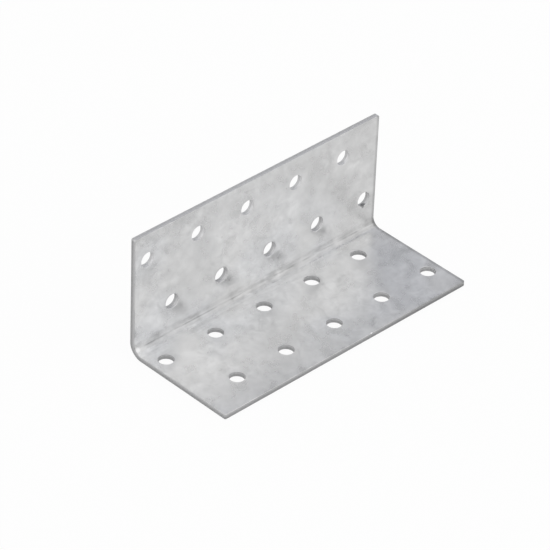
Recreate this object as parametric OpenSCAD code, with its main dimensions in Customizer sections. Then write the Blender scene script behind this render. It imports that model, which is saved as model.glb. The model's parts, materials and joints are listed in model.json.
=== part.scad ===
// Perforated angle bracket: one strip of galvanised sheet steel, punched with
// staggered rows of nail holes and then folded once, square, along its length.
//
// +X runs along the fold, +Z is up, and the base leg reaches towards -Y.
// The origin is on the underside, in the middle of the bracket's outline.
// All sizes are in millimetres.

/* [Sheet] */
// Length of the bracket along the fold
bracket_l = 100; // [40:1:240]
// Thickness of the sheet
sheet_t = 1.75; // [1:0.05:3]
// Height of the upright leg, from the underside to its free edge
upright_h = 42.4; // [30:0.1:120]
// Depth of the base leg, from the back face to its free edge
base_d = 41.4; // [30:0.1:120]
// Inside radius of the fold
fold_r = 3; // [1:0.1:6]
// Radius of the four corners of the sheet
corner_r = 0.5; // [0.1:0.1:4]

/* [Nail holes] */
// Diameter of a nail hole
hole_d = 5; // [3:0.1:7]
// Distance between neighbouring holes of a row
hole_pitch = 20; // [12:0.5:40]
// Distance between neighbouring rows of a leg
row_pitch = 20; // [12:0.5:40]
// How far every second row is moved along the fold
row_shift = 10; // [0:0.5:20]
// From the end of the sheet to the centre of the first hole
end_margin = 5; // [4.5:0.1:15]
// From the free edge of the upright to the centre of its outer row
upright_margin = 9; // [5:0.1:15]
// From the free edge of the base to the centre of its outer row
base_margin = 11; // [5:0.1:15]

/* [Hidden] */

// Outside radius of the fold, which is also where the flat of a leg begins
fold_outer_r = fold_r + sheet_t;
// How far a cutting shape runs past the face that it cuts
overrun = 1;
// Segments of the holes, and of the larger rounds
hole_fn = 48;
fold_fn = 96;

// How many rows of holes fit between a leg's free edge and its fold
function row_count(leg, margin) =
    floor((leg - margin - fold_outer_r - hole_d / 2) / row_pitch) + 1;

// How many holes fit in a row that starts at start from the end of the sheet
function holes_in_row(start) =
    floor((bracket_l - start - end_margin) / hole_pitch) + 1;

// Section across the fold: X runs from the back face to the free edge of the
// base, Y runs up from the underside
module folded_section() {
    translate([fold_outer_r, 0])
        square([base_d - fold_outer_r, sheet_t]);
    translate([0, fold_outer_r])
        square([sheet_t, upright_h - fold_outer_r]);
    intersection() {
        square(fold_outer_r);
        translate([fold_outer_r, fold_outer_r])
            difference() {
                circle(r = fold_outer_r, $fn = fold_fn);
                circle(r = fold_r, $fn = fold_fn);
            }
    }
}

// The strip after folding, with square corners and no holes
module folded_strip() {
    mirror([0, 1, 0])
        rotate([90, 0, 90])
            linear_extrude(height = bracket_l)
                folded_section();
}

// The waste outside one rounded corner: the corner is at the origin and the
// sheet lies to its right and below it
module corner_waste() {
    translate([0, 0, -overrun])
        linear_extrude(height = sheet_t + 2 * overrun)
            difference() {
                translate([-overrun, -corner_r])
                    square(corner_r + overrun);
                translate([corner_r, -corner_r])
                    circle(r = corner_r, $fn = hole_fn);
            }
}

// Everything cut out of one leg, drawn flat: X runs along the fold from the
// left end, Y from the outside of the fold to the leg's free edge
module leg_cuts(leg, margin, first_row_shifted) {
    translate([0, leg, 0])
        corner_waste();
    translate([bracket_l, leg, 0])
        mirror([1, 0, 0])
            corner_waste();
    for (row = [0 : row_count(leg, margin) - 1]) {
        start = end_margin + (row + first_row_shifted) % 2 * row_shift;
        for (hole = [0 : holes_in_row(start) - 1])
            translate([start + hole * hole_pitch, leg - margin - row * row_pitch, -overrun])
                cylinder(d = hole_d, h = sheet_t + 2 * overrun, $fn = hole_fn);
    }
}

// The finished bracket
module bracket() {
    color([0.71, 0.71, 0.72])
        translate([-bracket_l / 2, base_d / 2, 0])
            difference() {
                folded_strip();
                rotate([90, 0, 0])
                    leg_cuts(upright_h, upright_margin, 0);
                mirror([0, 1, 0])
                    leg_cuts(base_d, base_margin, 1);
            }
}

bracket();
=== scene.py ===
# %% [markdown]
# # A galvanised angle bracket
# The real object is one strip of zinc-coated sheet steel. It was punched with rows
# of nail holes, cut to length and folded once, square. Nothing on it moves, so the
# whole likeness is in a thin sheet with true holes, edges that show how they were
# cut, a fold with the marks of the tool that made it, and a dull, cloudy zinc skin.
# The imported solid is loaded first. It fixes where everything goes.

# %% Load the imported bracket
import json
import math

import bmesh
import bpy
from mathutils import Matrix, Vector, noise


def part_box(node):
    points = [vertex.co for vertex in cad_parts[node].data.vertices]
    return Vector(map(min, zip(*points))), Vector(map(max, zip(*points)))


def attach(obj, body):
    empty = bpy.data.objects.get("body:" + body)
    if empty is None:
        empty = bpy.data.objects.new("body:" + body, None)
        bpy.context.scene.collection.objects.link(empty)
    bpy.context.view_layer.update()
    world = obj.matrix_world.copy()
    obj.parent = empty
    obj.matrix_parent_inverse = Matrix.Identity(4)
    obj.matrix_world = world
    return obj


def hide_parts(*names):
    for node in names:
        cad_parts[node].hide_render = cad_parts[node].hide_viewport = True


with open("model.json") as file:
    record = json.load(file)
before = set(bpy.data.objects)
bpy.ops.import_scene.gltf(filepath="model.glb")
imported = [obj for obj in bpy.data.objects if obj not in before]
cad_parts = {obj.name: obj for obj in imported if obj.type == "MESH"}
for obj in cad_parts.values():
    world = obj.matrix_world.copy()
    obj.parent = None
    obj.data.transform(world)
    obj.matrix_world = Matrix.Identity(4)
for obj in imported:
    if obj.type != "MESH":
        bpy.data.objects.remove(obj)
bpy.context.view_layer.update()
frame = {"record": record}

# %% [markdown]
# The record that comes with the solid says where the faces and the rows of holes
# are, so the sizes are read from it instead of being written a second time. Only
# the two small radii are named here, because the record has no place for them.

# %% Sizes of the sheet
MM = 0.001
FOLD_RADIUS = 3 * MM
CORNER_RADIUS = 0.5 * MM

mounts = {mount["name"]: mount for mount in frame["record"]["mounts"]}
low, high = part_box("bracket")
length = high.x - low.x
back = high.y
front = low.y
top = high.z
sheet = mounts["base_inside_face"]["pos_m"][2]
flat_start = FOLD_RADIUS + sheet
print(f"sheet {sheet / MM:.2f} mm thick, {length / MM:.0f} mm long, {top / MM:.1f} mm high")

# %% [markdown]
# Each leg has two rows of five holes. A row is stated by its two end holes, so the
# other three stand at equal steps between them.

# %% Centres of the nail holes
HOLES_IN_ROW = 5


def row_centres(name):
    """The centres of one row of holes, from the row's middle and its end-to-end spacing."""
    middle = Vector(mounts[name]["pos_m"])
    spacing = mounts[name]["dims"]["spacing_x_mm"] * MM
    steps = [n / (HOLES_IN_ROW - 1) - 0.5 for n in range(HOLES_IN_ROW)]
    return [middle + Vector((spacing * step, 0, 0)) for step in steps]


upright_holes = row_centres("upright_outer_row_ends") + row_centres("upright_inner_row_ends")
base_holes = row_centres("base_inner_row_ends") + row_centres("base_outer_row_ends")
hole_radius = mounts["base_middle_pair"]["dims"]["hole_r_mm"] * MM
print(len(upright_holes), "holes in the upright and", len(base_holes), "in the base")

# %% [markdown]
# ## Camera
# The bracket was photographed from its front left with a long lens, slightly
# tilted. The numbers of that view were found by matching the holes and the outline:
# the point that the lens looks at, its side, height, tilt and distance, and its length.

# %% Camera at the photograph's angle
AIM = Vector((-6.22, 5.03, 16.84)) * MM
AZIMUTH = math.radians(-45.005)
ELEVATION = math.radians(36.129)
ROLL = math.radians(2.280)
DISTANCE = 1125.8 * MM
LENS = 247.17
CLIP = (0.05, 20)


def towards(azimuth, elevation):
    """A unit vector from the object towards a place given by two angles."""
    return Vector((
        math.sin(azimuth) * math.cos(elevation),
        -math.cos(azimuth) * math.cos(elevation),
        math.sin(elevation),
    ))


camera_data = bpy.data.cameras.new("camera")
camera_data.lens = LENS
camera_data.clip_start, camera_data.clip_end = CLIP
camera = bpy.data.objects.new("camera", camera_data)
bpy.context.scene.collection.objects.link(camera)
seen_from = towards(AZIMUTH, ELEVATION)
level = (-seen_from).to_track_quat("-Z", "Y").to_matrix().to_4x4()
camera.matrix_world = (
    Matrix.Translation(AIM + seen_from * DISTANCE) @ level @ Matrix.Rotation(ROLL, 4, "Z")
)
bpy.context.scene.camera = camera
print("camera stands at", [round(value, 4) for value in camera.location])

# %% [markdown]
# ## The sheet
# A solid this thin is easiest to make as a surface first: the inner face, from the
# free edge of the upright, round the fold, to the free edge of the base. It starts
# as a single row of edges along the free edge. Pulling that row down gives the
# upright, spinning it gives the fold, and pulling it on gives the base. The steps
# are about a millimetre, and they fall so that every hole has whole cells round it.

# %% Pull and spin the inner face
CELL = 1 * MM
HOLE_BLOCK = 4 * MM
FOLD_STEPS = 48


def pull(mesh, row, move, distance):
    """Extrudes a row of edges over a distance, in steps of about one cell."""
    steps = max(1, round(distance / CELL))
    for _ in range(steps):
        made = bmesh.ops.extrude_edge_only(mesh, edges=row)["geom"]
        row = [part for part in made if isinstance(part, bmesh.types.BMEdge)]
        row_ends = [part for part in made if isinstance(part, bmesh.types.BMVert)]
        bmesh.ops.translate(mesh, verts=row_ends, vec=move * (distance / steps))
        row = [edge for edge in row if all(end in row_ends for end in edge.verts)]
    return row


def stations(start, end, rows):
    """The places between start and end where the cells have to break for the rows of holes."""
    breaks = {start, end}
    for row in rows:
        breaks.update({row - HOLE_BLOCK, row + HOLE_BLOCK})
    return sorted(breaks)


sheet_mesh = bmesh.new()
ends = [sheet_mesh.verts.new((x, back - sheet, top)) for x in (low.x, high.x)]
free_edge = sheet_mesh.edges.new(ends)
bmesh.ops.subdivide_edges(sheet_mesh, edges=[free_edge], cuts=round(length / CELL) - 1)
row = sheet_mesh.edges[:]

heights = stations(flat_start, top, {centre.z for centre in upright_holes})
for lower, upper in reversed(list(zip(heights, heights[1:]))):
    row = pull(sheet_mesh, row, Vector((0, 0, -1)), upper - lower)
spun = bmesh.ops.spin(
    sheet_mesh, geom=row, cent=(0, back - flat_start, flat_start), axis=(1, 0, 0),
    angle=-math.pi / 2, steps=FOLD_STEPS, use_duplicate=False,
)
row = [part for part in spun["geom_last"] if isinstance(part, bmesh.types.BMEdge)]
depths = stations(flat_start, back - front, {back - centre.y for centre in base_holes})
for nearer, further in zip(depths, depths[1:]):
    row = pull(sheet_mesh, row, Vector((0, -1, 0)), further - nearer)
print("inner face has", len(sheet_mesh.faces), "cells")

# %% [markdown]
# A punched hole takes the place of a square block of cells. The block is deleted, and
# the edges that stood round it are extruded once, inwards, on to the circle of the
# hole. A point of the square goes to the point of the circle that is as far along, so
# the rim is evenly divided. Cutting the new spokes keeps the cells small there too.

# %% Punch the holes
RINGS = 2


def rounded(along, up):
    """The point of the hole's rim that a point of the square block's outline goes to."""
    if abs(along) >= abs(up):
        angle = up / along * math.pi / 4 + (math.pi if along < 0 else 0)
    else:
        angle = math.copysign(math.pi / 2, up) - along / up * math.pi / 4
    return hole_radius * math.cos(angle), hole_radius * math.sin(angle)


def punch(mesh, centre, across):
    """Replaces the block of cells round a centre with rings of cells round a hole."""
    block = [
        face for face in mesh.faces
        if (face.calc_center_median() - centre).length < 2 * HOLE_BLOCK
        and all(
            abs(face.calc_center_median()[axis] - centre[axis]) < HOLE_BLOCK
            for axis in across
        )
    ]
    outline = [
        edge for edge in {edge for face in block for edge in face.edges}
        if sum(other in block for other in edge.link_faces) == 1
    ]
    bmesh.ops.delete(mesh, geom=block, context="FACES")
    made = bmesh.ops.extrude_edge_only(mesh, edges=outline)["geom"]
    rim = [part for part in made if isinstance(part, bmesh.types.BMVert)]
    spokes = [
        edge for vert in rim for edge in vert.link_edges
        if edge.other_vert(vert) not in rim
    ]
    first, second = across
    for vert in rim:
        offset = vert.co - centre
        offset[first], offset[second] = rounded(offset[first], offset[second])
        vert.co = centre + offset
    bmesh.ops.subdivide_edges(mesh, edges=spokes, cuts=RINGS)


for centre in upright_holes:
    punch(sheet_mesh, Vector((centre.x, back - sheet, centre.z)), (0, 2))
for centre in base_holes:
    punch(sheet_mesh, Vector((centre.x, centre.y, sheet)), (0, 1))
print("after punching there are", len(sheet_mesh.faces), "cells")

# %% [markdown]
# The strip was sheared from a coil, so its four corners are square with only a
# slight break. A vertex bevel on the open surface rounds them while there is still
# one vertex at each.

# %% Break the corners
CORNER_SEGMENTS = 4

corners = [
    vert for vert in sheet_mesh.verts
    if len(vert.link_faces) == 1 and vert.is_boundary
]
bmesh.ops.bevel(
    sheet_mesh, geom=corners, offset=CORNER_RADIUS, segments=CORNER_SEGMENTS,
    profile=0.5, affect="VERTICES", material=-1,
)
print("rounded", len(corners), "corners")

# %% [markdown]
# The fold was pressed with a blunt steel nose, whose two edges left a pair of fine
# lines along the inside. They are shallow grooves, so they are pressed into the mesh
# while it is still a bare surface: a point of the fold moves outwards by a smooth dip
# round each line. Noise, which is the same each time, makes the lines wander and fade
# a little on the way. A line's place is given as its distance round the fold from the
# upright's end of it, with its depth beside it.

# %% Press the tool marks into the fold
TOOL_MARKS = {2.0 * MM: 0.040 * MM, 0.72 * MM: 0.028 * MM}
MARK_WIDTH = 0.11 * MM
MARK_WANDER = 0.07 * MM
WANDER_LENGTH = 6 * MM
FADE_LENGTH = 15 * MM
NEXT_LINE, NEXT_FADE = 7.3, 2.92
USUAL_WEAR, LEAST_WEAR, WEAR_CHANGE = 0.75, 0.1, 0.6
fold_axis = Vector((0, back - flat_start, flat_start))


def outwards(point):
    """The direction from the inside of the sheet to its outside, at a point."""
    if point.z >= fold_axis.z:
        return Vector((0, 1, 0))
    if point.y <= fold_axis.y:
        return Vector((0, 0, -1))
    return Vector((0, point.y - fold_axis.y, point.z - fold_axis.z)).normalized()


def mark_depth(x, arc):
    """How deep the tool marks are at a place along the fold and round it."""
    depth = 0
    for number, (line, deepest) in enumerate(TOOL_MARKS.items()):
        wander = noise.noise(Vector((x / WANDER_LENGTH, NEXT_LINE * number, 0)))
        fade = noise.noise(Vector((x / FADE_LENGTH, NEXT_FADE * number, 5)))
        worn = max(USUAL_WEAR + WEAR_CHANGE * fade, LEAST_WEAR)
        off_centre = arc - line - MARK_WANDER * wander
        depth += deepest * worn * math.exp(-(off_centre / MARK_WIDTH) ** 2)
    return depth


marked = 0
for vert in sheet_mesh.verts:
    direction = outwards(vert.co)
    arc = math.atan2(-direction.z, direction.y) * FOLD_RADIUS
    if 0 < direction.y < 1:
        vert.co += direction * mark_depth(vert.co.x, arc)
        marked += 1
print("tool marks pressed into", marked, "points of the fold")

# %% [markdown]
# The surface gets its thickness by extruding all of it and moving the copy outwards
# by one sheet thickness. Outwards is square to the leg that a point belongs to, and
# on the fold it points away from the fold's own axis, so the outside of the fold
# comes out as a larger round about the same axis, without the tool marks.

# %% Give the sheet its thickness
grown = bmesh.ops.extrude_face_region(
    sheet_mesh, geom=sheet_mesh.faces[:], use_keep_orig=True,
)["geom"]
for vert in grown:
    if isinstance(vert, bmesh.types.BMVert):
        direction = outwards(vert.co)
        vert.co += direction * sheet
        if 0 < direction.y < 1:
            spoke = vert.co - fold_axis
            spoke.x = 0
            vert.co -= direction * (spoke.length - flat_start)
bmesh.ops.recalc_face_normals(sheet_mesh, faces=sheet_mesh.faces[:])
lowest = min(vert.co.z for vert in sheet_mesh.verts)
furthest = max(vert.co.y for vert in sheet_mesh.verts)
print(f"underside at {lowest / MM:.3f} mm, back face at {furthest / MM:.3f} of {back / MM:.3f} mm")
print("open edges:", sum(len(edge.link_faces) != 2 for edge in sheet_mesh.edges))

# %% [markdown]
# A shear or a punch first presses the metal down and then tears through it. The side
# it enters gets a soft rolled-over edge, and the side it leaves stays sharp. A punch
# fits its die more closely than a shear does, so round the holes both are finer. Each
# of these four kinds of rim gets a bevel of its own: a width, a number of segments, and
# the material that it takes. The cut faces are found first, because they keep a material
# of their own.

# %% Roll the cut edges over
SKIN, CUT = 0, 1
SHEARED_RIMS = ((0.2 * MM, 4, SKIN), (0.1 * MM, 2, CUT))
PUNCHED_RIMS = ((0.1 * MM, 3, SKIN), (0.03 * MM, 1, CUT))
OUTLINE_BAND = 1 * MM


def through(point):
    """How far into the sheet's thickness a point is, from the inside of the fold."""
    reach = Vector((max(point.y - fold_axis.y, 0), max(fold_axis.z - point.z, 0)))
    return reach.length - FOLD_RADIUS


def is_cut(face):
    """True for the end faces, the free edges and the walls of the holes."""
    return abs(face.normal.dot(outwards(face.calc_center_median()))) < 0.5


for face in sheet_mesh.faces:
    face.material_index = CUT if is_cut(face) else SKIN
rims = [
    edge for edge in sheet_mesh.edges
    if len({face.material_index for face in edge.link_faces}) == 2
]
sorted_rims = {}
for edge in rims:
    middle = (edge.verts[0].co + edge.verts[1].co) / 2
    past = max(abs(middle.x) - high.x, middle.z - top, front - middle.y)
    kinds = PUNCHED_RIMS if past < -OUTLINE_BAND else SHEARED_RIMS
    sorted_rims.setdefault(kinds[through(middle) > sheet / 2], []).append(edge)
for (width, segments, side), rim in sorted_rims.items():
    bmesh.ops.bevel(
        sheet_mesh, geom=rim, offset=width, segments=segments, profile=0.5,
        affect="EDGES", clamp_overlap=False, material=side,
    )
print("bevelled", len(rims), "rim edges;", len(sheet_mesh.faces), "faces in all")

# %% [markdown]
# Strip from a coil is never dead flat, and a punch dishes the metal round a hole by a
# few hundredths. A slow noise moves both sides of the sheet together, so that its
# thickness stays. It is far too little to see as a shape, but reflections show it.

# %% Take the dead flatness out of the sheet
WAVE_HEIGHT = 0.022 * MM
WAVE_LENGTH = 9 * MM
FINE_WAVE_LENGTH = 4.05 * MM
FINE_SHARE = 0.4

for vert in sheet_mesh.verts:
    direction = outwards(vert.co)
    core = vert.co - direction * through(vert.co)
    wave = noise.noise(core / WAVE_LENGTH)
    fine_wave = noise.noise(core / FINE_WAVE_LENGTH)
    vert.co += direction * (wave + FINE_SHARE * fine_wave) * WAVE_HEIGHT
print("sheet waved by up to", WAVE_HEIGHT / MM, "mm")

# %% [markdown]
# The finished mesh becomes one object. Weighted normals keep the wide flat faces
# flat right up to the narrow bevels.

# %% Make the bracket's object
bracket_data = bpy.data.meshes.new("bracket_sheet")
sheet_mesh.to_mesh(bracket_data)
sheet_mesh.free()
bracket_data.shade_smooth()
bracket = bpy.data.objects.new("bracket_sheet", bracket_data)
bpy.context.scene.collection.objects.link(bracket)
flat_shading = bracket.modifiers.new("flat_faces_stay_flat", "WEIGHTED_NORMAL")
flat_shading.weight = 50
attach(bracket, "root")
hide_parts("bracket")
print("triangles:", sum(len(face.vertices) - 2 for face in bracket_data.polygons))

# %% [markdown]
# ## Shader maths
# Materials are easier to read as sums than as boxes and wires. This class wraps one
# output socket, so that adding or multiplying wires makes the Math node for it.
# Vectors and colours get Vector Math and Mix nodes, because Math turns a colour grey.
# The first method adds any node: its type, then its settings, then its sockets.

# %% Arithmetic on shader sockets
class Wire:
    """An output socket of a shader node that takes part in arithmetic."""

    def __init__(self, tree, socket=None):
        self.tree = tree
        self.socket = socket

    def node(self, kind, settings=None, inputs=None, out=0):
        """Adds a node of any kind and returns one of its outputs as a wire."""
        made = self.tree.nodes.new(kind)
        for name, value in (settings or {}).items():
            setattr(made, name, value)
        for name, value in (inputs or {}).items():
            if isinstance(value, Wire):
                self.tree.links.new(value.socket, made.inputs[name])
            else:
                made.inputs[name].default_value = value
        return Wire(self.tree, made.outputs[out])

    def other(self, out):
        """Another output of the node that this wire comes from."""
        return Wire(self.tree, self.socket.node.outputs[out])

    def math(self, operation, *values):
        """One Math node on the given wires or numbers."""
        return self.node("ShaderNodeMath", {"operation": operation}, dict(enumerate(values)))

    def vector(self, operation, *values, out=0):
        """One Vector Math node on the given wires or vectors."""
        return self.node(
            "ShaderNodeVectorMath", {"operation": operation}, dict(enumerate(values)), out=out,
        )

    def mix_colours(self, mask, first, second):
        """The first colour where the mask is 0 and the second where it is 1."""
        return self.node(
            "ShaderNodeMix", {"data_type": "RGBA"}, {0: mask, 6: first, 7: second}, out=2,
        )

    def __add__(self, other):
        return self.math("ADD", self, other)

    def __sub__(self, other):
        return self.math("SUBTRACT", self, other)

    def __mul__(self, other):
        return self.math("MULTIPLY", self, other)

    def __rsub__(self, other):
        return self.math("SUBTRACT", other, self)

    __radd__ = __add__
    __rmul__ = __mul__


def new_material(name):
    """A new material, a wire to add its nodes from, and its main shader."""
    made = bpy.data.materials.new(name)
    made.use_nodes = True
    return made, Wire(made.node_tree), made.node_tree.nodes["Principled BSDF"]


def plug(wire, node, socket):
    """Links a wire to an input of a node."""
    wire.tree.links.new(wire.socket, node.inputs[socket])


print("wires are ready")

# %% [markdown]
# More helpers make the patterns. One makes noise with spots of a given size in metres,
# one turns a wire into a smooth mask, and one gives places on the sheet. All patterns
# are laid out in Object coordinates, so they stay on the metal when the camera moves.
# The last three know this bracket: how far a point is into the thickness, how far it
# is from the outline, and whether it is near the floor.

# %% Noise, masks and places on the sheet
def spots(place, size, detail=2.0, roughness=0.55, distortion=0.0):
    """Noise whose spots are about the given size, as values round 0."""
    fac = place.node("ShaderNodeTexNoise", None, {
        "Vector": place, "Scale": 0.5 / size, "Detail": detail, "Roughness": roughness,
        "Distortion": distortion,
    })
    return fac - 0.5


def step_up(wire, start, end):
    """A smooth mask that is 0 below start and 1 above end."""
    return wire.node("ShaderNodeMapRange", {"interpolation_type": "SMOOTHSTEP"}, {
        "Value": wire, "From Min": start, "From Max": end,
    })


def sheet_places(paint):
    """Object coordinates as a vector and as X, Y and Z wires."""
    place = paint.node("ShaderNodeTexCoord", out="Object")
    x = place.node("ShaderNodeSeparateXYZ", None, {0: place})
    return place, x, x.other("Y"), x.other("Z")


def into_sheet(y, z):
    """How far a point is from the inner face, measured through the thickness."""
    behind = y.math("MAXIMUM", y - fold_axis.y, 0)
    below = z.math("MAXIMUM", fold_axis.z - z, 0)
    return y.math("SQRT", behind * behind + below * below) - FOLD_RADIUS


def past_outline(x, y, z):
    """How far a point is outside the sheet's outline, so negative on the sheet."""
    past_end = x.math("ABSOLUTE", x) - high.x
    return x.math("MAXIMUM", past_end, x.math("MAXIMUM", z - top, front - y))


def near_floor(z):
    """A mask for what is within a few millimetres of the floor, used for painted shade."""
    return 1 - step_up(z, 3 * MM, 6 * MM)


print("noise, masks and places are ready")

# %% [markdown]
# ## Galvanised skin
# Hot zinc freezes on the steel in dull clouds a few millimetres wide, with finer
# mottling, small dark marks and a few pits in them. The strip ran through the bath in
# one direction, so they are drawn out a little. Subtracting part of a point's own
# travel along that direction stretches everything that is made from the result.

# %% Clouds, mottling and pits in the zinc
GRAIN_DIRECTION = (0.569, 0.5715, -0.591)
GRAIN_STRETCH = 1.6
PIT_SPACING = 9 * MM
PIT_CHANCE = 0.065

zinc, paint, zinc_shader = new_material("galvanised_skin")
place, x, y, z = sheet_places(paint)
travel = paint.vector("DOT_PRODUCT", place, GRAIN_DIRECTION, out="Value")
grain = paint.node("ShaderNodeCombineXYZ", None, {
    n: travel * (part * (1 - 1 / GRAIN_STRETCH)) for n, part in enumerate(GRAIN_DIRECTION)
})
drawn = paint.vector("SUBTRACT", place, grain)

clouds = spots(drawn, 3.6 * MM, distortion=0.3)
busy = 0.5 + step_up(spots(place, 7 * MM, detail=1), -0.15, 0.15) * 0.8
mottle = spots(drawn, 1.5 * MM, detail=2.5, roughness=0.5, distortion=0.4) * busy
marks = step_up(spots(drawn, 2 * MM, distortion=0.8), 0.06, 0.26) * busy
pit_gap = paint.node("ShaderNodeTexVoronoi", None, {"Vector": drawn, "Scale": 1 / PIT_SPACING})
chance = paint.node("ShaderNodeSeparateColor", None, {0: pit_gap.other("Color")})
pits = 1 - step_up(pit_gap - chance * PIT_CHANCE, -0.01, 0.035)
print("zinc has clouds, mottling, marks and pits")

# %% [markdown]
# Bending crazes the zinc, which leaves the inside of the fold duller, and its colour is
# darkened there as painted shade in the crease. The edges of the tool scuffed the two
# grooves that were pressed above, and the metal beside them has fine streaks along the
# fold. The sum of Y and Z, less its value at the middle of the fold, counts up from the
# base to the upright, so a mask on it is a band that runs along the fold. A groove's
# place round the fold gives its place in that sum.

# %% Dulled fold with painted shade, and scuffed grooves
SCUFFS = ((0.05 * MM, 0.45 * MM, 1), (0.3 * MM, 1.1 * MM, 0.35))
STREAK_STRETCH = 5


def band(wire, start, full, fading, end):
    """A mask that rises from start to full and falls again from fading to end."""
    return step_up(wire, start, full) * (1 - step_up(wire, fading, end))


from_fold = y + z - back
# Painted shade: the inside of the fold is darkened as shade in its crease, and its zinc is made
# rougher.
fold_shade_and_dulling = band(from_fold, -1.9 * MM, -0.6 * MM, 0.4 * MM, 3.4 * MM)
scuffs = 0
for arc, (full, end, strength) in zip(TOOL_MARKS, SCUFFS):
    turn = arc / FOLD_RADIUS
    groove = FOLD_RADIUS * (math.cos(turn) - math.sin(turn))
    off_groove = paint.math("ABSOLUTE", from_fold - groove)
    scuffs = (1 - step_up(off_groove, full, end)) * strength + scuffs
scuffs = scuffs * step_up(spots(place, 5 * MM), -0.06, 0.06)
along_fold = paint.vector("MULTIPLY", place, (1 / STREAK_STRETCH, 1, 1))
beside_fold = band(from_fold, -9 * MM, -2 * MM, 2 * MM, 5 * MM)
streaks = spots(along_fold, 0.6 * MM) * beside_fold * busy
print("fold is dulled and its grooves are scuffed")

# %% [markdown]
# A bracket that has lain in a box has stains of its own: broad grey and pale patches,
# two handling smears beside a nail hole, and a bright nick where something hard touched
# the front edge. A dark spot sits at the bottom of one hole in the upright's lower row.
# The same table holds painted light: a pale pool of painted light on the base at the
# left of the fold, painted reflections of the dark places under the base below the
# other four holes of that row, and a painted highlight at the left end of the fold.
# Each is a soft ball round a place on the sheet, with its edge made ragged by noise. A
# row gives its centre, how far it is full and where it ends, all in millimetres, and
# then how much it lightens, so negative amounts darken.

# %% Stains, smears, nicks and painted light
STAINS_AND_PAINTED_LIGHT = (
    ((-12, -1, 1.75), 4, 15, -0.09),
    ((4, -15, 1.75), 4, 22, -0.07),
    ((-26, -20, 1.75), 5, 20, -0.06),
    ((-42, 18.95, 32), 4, 17, 0.05),
    # painted light: a pale pool on the base at the left of the fold
    ((-42, 6, 1.75), 3, 12, 0.05),
    ((-10, 18.95, 24), 4, 18, 0.04),
    ((13, 6.5, 1.75), 0.5, 4.5, -0.07),
    ((23, 7, 1.75), 0.5, 4, -0.06),
    # painted reflections of the dark places under the base, below four holes of the upright
    ((-31.6, 18.95, 10.6), 0.2, 1.7, -0.10),
    ((-11.6, 18.95, 10.6), 0.2, 1.7, -0.10),
    ((8.6, 18.95, 10.5), 0.2, 1.9, -0.13),
    ((28.6, 18.95, 10.6), 0.2, 1.7, -0.10),
    # a dark spot at the bottom of the fifth hole of the upright's lower row
    ((44.8, 18.95, 10.8), 0.25, 0.8, -0.55),
    ((10, -20.6, 1.75), 0.15, 0.45, 0.5),
    # painted highlight at the left end of the fold
    ((-49.4, 18.3, 2.3), 0.4, 1.3, 0.3),
)

RAGGED_SCALE = 120

ragged = paint.node(
    "ShaderNodeTexNoise", None, {"Vector": place, "Scale": RAGGED_SCALE}, out="Color",
)
unrest = paint.vector("SUBTRACT", ragged, (0.5, 0.5, 0.5))
# The stains, the nick and the painted light of the table are summed here.
stain_and_light_tone = 0
for centre, full, end, lighter in STAINS_AND_PAINTED_LIGHT:
    moved = paint.vector("MULTIPLY_ADD", unrest, (end * MM,) * 3, place)
    gap = paint.vector("DISTANCE", moved, Vector(centre) * MM, out="Value")
    stain_and_light_tone = stain_and_light_tone + (1 - step_up(gap, full * MM, end * MM)) * lighter
print("placed", len(STAINS_AND_PAINTED_LIGHT), "stains and nicks")

# %% [markdown]
# Along the outline the zinc gets a darker line of painted shade, where the rolled edge
# turns away, and it is worn a little rougher there. At the right end the painted shade
# is a wider dark line. The edges next to the floor get more painted shade, deeper
# towards the right. Then everything is added up: each row of the table has a pattern
# or mask, how much it lightens, and how much it roughens.

# %% Painted shade and wear at the edges, and the zinc put together
ZINC_GREY = (0.71, 0.71, 0.71, 1)
ZINC_BLUE = (0.68, 0.695, 0.725, 1)
ZINC_ROUGHNESS = 0.30
BUMP_HEIGHT = 0.05 * MM

# Painted shade: a dark line along the outline on slightly rougher zinc, a wider one at the right
# end, and more along the edges next to the floor, deeper towards the right.
rim_shade_and_wear = step_up(past_outline(x, y, z), -0.35 * MM, -0.05 * MM)
right_end_shade = step_up(x, high.x - 1.4 * MM, high.x - 0.6 * MM)
low_edge_skin_shade = rim_shade_and_wear * near_floor(z) * step_up(x, 0, 35 * MM)

tone = stain_and_light_tone + 1
roughness = ZINC_ROUGHNESS
for pattern, lighter, rougher in (
    (clouds, 0.44, 0.25),
    (mottle, 0.46, 0.2),
    (streaks, 0.5, 0),
    (marks, -0.08, 0),
    (pits, -0.12, 0),
    # painted shade in the crease of the fold, on duller zinc
    (fold_shade_and_dulling, -0.27, 0.12),
    (scuffs, -0.18, 0),
    # painted shade at the edges: the outline with some wear, the right end, and next to the floor
    (rim_shade_and_wear, -0.15, 0.1),
    (right_end_shade, -0.25, 0),
    (low_edge_skin_shade, -0.25, 0),
):
    tone = tone + pattern * lighter
    if rougher:
        roughness = roughness + pattern * rougher
bluish = step_up(spots(place, 13 * MM, detail=1), 0, 0.18) * 0.3
grey = paint.mix_colours(bluish, ZINC_GREY, ZINC_BLUE)
toned = paint.vector("MULTIPLY", grey, paint.node("ShaderNodeCombineXYZ", None, {
    n: tone for n in range(3)
}))
plug(toned, zinc_shader, "Base Color")
plug(roughness, zinc_shader, "Roughness")
zinc_shader.inputs["Metallic"].default_value = 1
relief = spots(drawn, 1.3 * MM) + clouds * 0.6 - pits * 1.2
plug(paint.node("ShaderNodeBump", None, {
    "Strength": 0.6, "Distance": BUMP_HEIGHT, "Height": relief,
}), zinc_shader, "Normal")
bracket_data.materials.append(zinc)
print("made", zinc.name)

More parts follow.
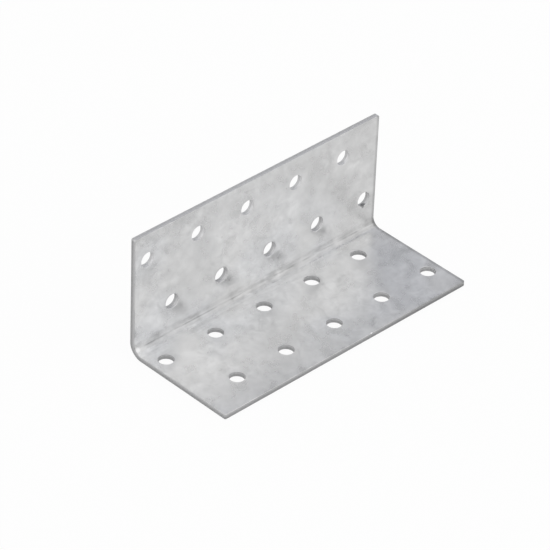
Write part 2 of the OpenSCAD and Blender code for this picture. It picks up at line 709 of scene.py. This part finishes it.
# %% [markdown]
# ## Cut faces
# Where the strip was sheared or punched there is no zinc. The tool first slid along
# the metal and left it smooth, then the rest tore and is rougher and darker, so the
# border between the two bands wanders. A punch leaves brighter walls than a shear, and
# the walls of the upright's outer row, the upper one, are painted lighter still, as
# light that the holes lower in the angle don't get. The cut face along the top of the
# upright is lighter, and the cut faces next to the floor get painted shade, mostly at
# the right. The dark spot that was placed on the skin below a nail hole starts on the
# wall of that hole.

# %% Sheared steel
SHEARED_SHADE, PUNCHED_SHADE, UPPER_HOLES_PAINTED_LIGHT, TOP_EDGE_LIGHTER = 0.53, 0.64, 0.12, 0.12
TORN_DARKER, SCORES_SHOW, DARK_SPOT_DARKER = 0.08, 0.25, 0.34
LOW_EDGE_SHADE, RIGHT_LOW_EDGE_SHADE = 0.03, 0.08
DARK_SPOT_IN_HOLE = Vector((45.2, 19.2, 10.9)) * MM

cut, paint, cut_shader = new_material("sheared_steel")
place, x, y, z = sheet_places(paint)
scores = spots(place, 0.3 * MM, detail=3)
torn = step_up(into_sheet(y, z) + scores * (0.5 * MM), 0.65 * MM, 0.95 * MM)
# The cut face along the top of the upright is lighter.
top_edge = step_up(z, top - 0.8 * MM, top - 0.4 * MM)
sheared = step_up(past_outline(x, y, z), -1.5 * MM, -0.6 * MM)
# Painted shade on the cut faces next to the floor, deeper towards the right.
low_edge_cut_shade = near_floor(z) * (
    step_up(x, -48 * MM, -35 * MM) * LOW_EDGE_SHADE + step_up(x, 0, 35 * MM) * RIGHT_LOW_EDGE_SHADE
)
# Painted light: the walls of the upright's upper row of holes are lighter, as light that the lower
# holes, deeper in the angle, don't get.
punched_and_painted_light = step_up(z, 18 * MM, 28 * MM) * UPPER_HOLES_PAINTED_LIGHT + PUNCHED_SHADE
walls = punched_and_painted_light * (1 - sheared) + (SHEARED_SHADE - low_edge_cut_shade) * sheared
# A dark spot on the bottom wall of the fifth hole in the upright's lower row.
from_dark_spot = paint.vector("DISTANCE", place, DARK_SPOT_IN_HOLE, out="Value")
dark_spot = 1 - step_up(from_dark_spot, 0.7 * MM, 1.2 * MM)
shade = (
    walls + top_edge * TOP_EDGE_LIGHTER + scores * SCORES_SHOW
    - torn * TORN_DARKER - dark_spot * DARK_SPOT_DARKER
)
plug(paint.node("ShaderNodeCombineColor", None, {
    "Red": shade, "Green": shade, "Blue": shade * 1.01,
}), cut_shader, "Base Color")
plug(0.48 + torn * 0.2 + scores * 0.2, cut_shader, "Roughness")
cut_shader.inputs["Metallic"].default_value = 1
bracket_data.materials.append(cut)
print("made", cut.name)

# %% [markdown]
# ## Studio
# The bracket stands on a plain white floor. The camera sees the floor mostly by a
# glow of strength 1, which is white, and the rest of the floor is plain white paint
# that keeps a faint shadow. A reflection sees more of the real paint, because the
# dark places under the bracket have to show in the metal above the nail holes.

# %% White floor
FLOOR_SIZE = 3
FLOOR_DROP = 0.05 * MM
GLOW_FOR_CAMERA = 0.94
GLOW_FOR_REFLECTIONS = 0.15


def stage_piece(name, mesh, material):
    """Makes an object of a bmesh with one material, apart from the bracket."""
    data = bpy.data.meshes.new(name)
    mesh.to_mesh(data)
    mesh.free()
    data.materials.append(material)
    made = bpy.data.objects.new(name, data)
    bpy.context.scene.collection.objects.link(made)
    return made


def seen_by(wire):
    """Three masks: the camera's rays, reflected rays and rays through glass."""
    camera_ray = wire.node("ShaderNodeLightPath", out="Is Camera Ray")
    return camera_ray, camera_ray.other("Is Glossy Ray"), camera_ray.other("Is Transmission Ray")


floor_white, paint, floor_shader = new_material("floor_white")
floor_shader.inputs["Base Color"].default_value = (0.86, 0.86, 0.86, 1)
floor_shader.inputs["Roughness"].default_value = 1
floor_shader.inputs["Specular IOR Level"].default_value = 0
camera_ray, glossy_ray, through_ray = seen_by(paint)
glowing = (
    paint.math("MAXIMUM", camera_ray, through_ray) * GLOW_FOR_CAMERA
    + glossy_ray * GLOW_FOR_REFLECTIONS
)
glow = paint.node("ShaderNodeEmission")
painted = Wire(paint.tree, floor_shader.outputs[0])
floor_mix = paint.node("ShaderNodeMixShader", None, {0: glowing, 1: painted, 2: glow})
plug(floor_mix, paint.tree.nodes["Material Output"], "Surface")

floor_mesh = bmesh.new()
bmesh.ops.create_grid(floor_mesh, x_segments=1, y_segments=1, size=FLOOR_SIZE)
bmesh.ops.translate(floor_mesh, verts=floor_mesh.verts, vec=(0, 0, -FLOOR_DROP))
stage_piece("floor", floor_mesh, floor_white)
print("floor laid")

# %% [markdown]
# The room is white all round. The camera, reflections and glass see it at strength 1,
# and everything else is lit by a slightly lower plain level, so nothing washes out.

# %% White room
ROOM_LIGHT = 0.9

room = bpy.data.worlds.new("white_room")
room.use_nodes = True
bpy.context.scene.world = room
air = Wire(room.node_tree)
camera_ray, glossy_ray, through_ray = seen_by(air)
seen = air.math("MAXIMUM", camera_ray, air.math("MAXIMUM", glossy_ray, through_ray))
backdrop = room.node_tree.nodes["Background"]
backdrop.inputs["Color"].default_value = (1, 1, 1, 1)
plug(ROOM_LIGHT + seen * (1 - ROOM_LIGHT), backdrop, "Strength")
bpy.context.scene.view_settings.view_transform = "Standard"
print("room is white")

# %% [markdown]
# Metal shows its shape by what it mirrors. A soft box in front and to the right is
# mirrored twice, once in each leg, and lifts the whole inside of the angle. A grey
# card behind and to the right is mirrored in the base, wherever the upright doesn't
# stand in the way, and gives it the darker corner and front edge. Only reflections
# see the card, so it doesn't show or shade anything itself.

# %% Soft box and grey card
BOX_FROM = Vector((0.569, -0.585, 0.58)).normalized()
BOX_AWAY = 1.0
BOX_WIDTH = 0.8
BOX_BRIGHTNESS = 0.32
CARD_FROM = Vector((0.62, 0.62, 0.5)).normalized()
CARD_AWAY = 0.6
CARD_HALF = 0.5
CARD_COLOUR = (0.98, 0.99, 1.03, 1)
CARD_BRIGHTNESS = 0.64


def facing_bracket(side, away):
    """Places something on a side of the bracket, turned so that it faces it."""
    turn = side.to_track_quat("Z", "Y").to_matrix().to_4x4()
    return Matrix.Translation(side * away) @ turn


box_data = bpy.data.lights.new("soft_box", "AREA")
box_data.size = BOX_WIDTH
box_data.energy = BOX_BRIGHTNESS * math.pi * BOX_WIDTH ** 2
box = bpy.data.objects.new("soft_box", box_data)
bpy.context.scene.collection.objects.link(box)
box.matrix_world = facing_bracket(BOX_FROM, BOX_AWAY)

card_grey, paint, card_shader = new_material("card_grey")
card_shader.inputs["Base Color"].default_value = (0, 0, 0, 1)
card_shader.inputs["Specular IOR Level"].default_value = 0
card_shader.inputs["Emission Color"].default_value = CARD_COLOUR
card_shader.inputs["Emission Strength"].default_value = CARD_BRIGHTNESS
card_mesh = bmesh.new()
bmesh.ops.create_grid(
    card_mesh, x_segments=1, y_segments=1, size=CARD_HALF,
    matrix=facing_bracket(CARD_FROM, CARD_AWAY),
)
card = stage_piece("grey_card", card_mesh, card_grey)
card.visible_camera = False
card.visible_diffuse = False
card.visible_transmission = False
card.visible_shadow = False
print("soft box and grey card stand in place")
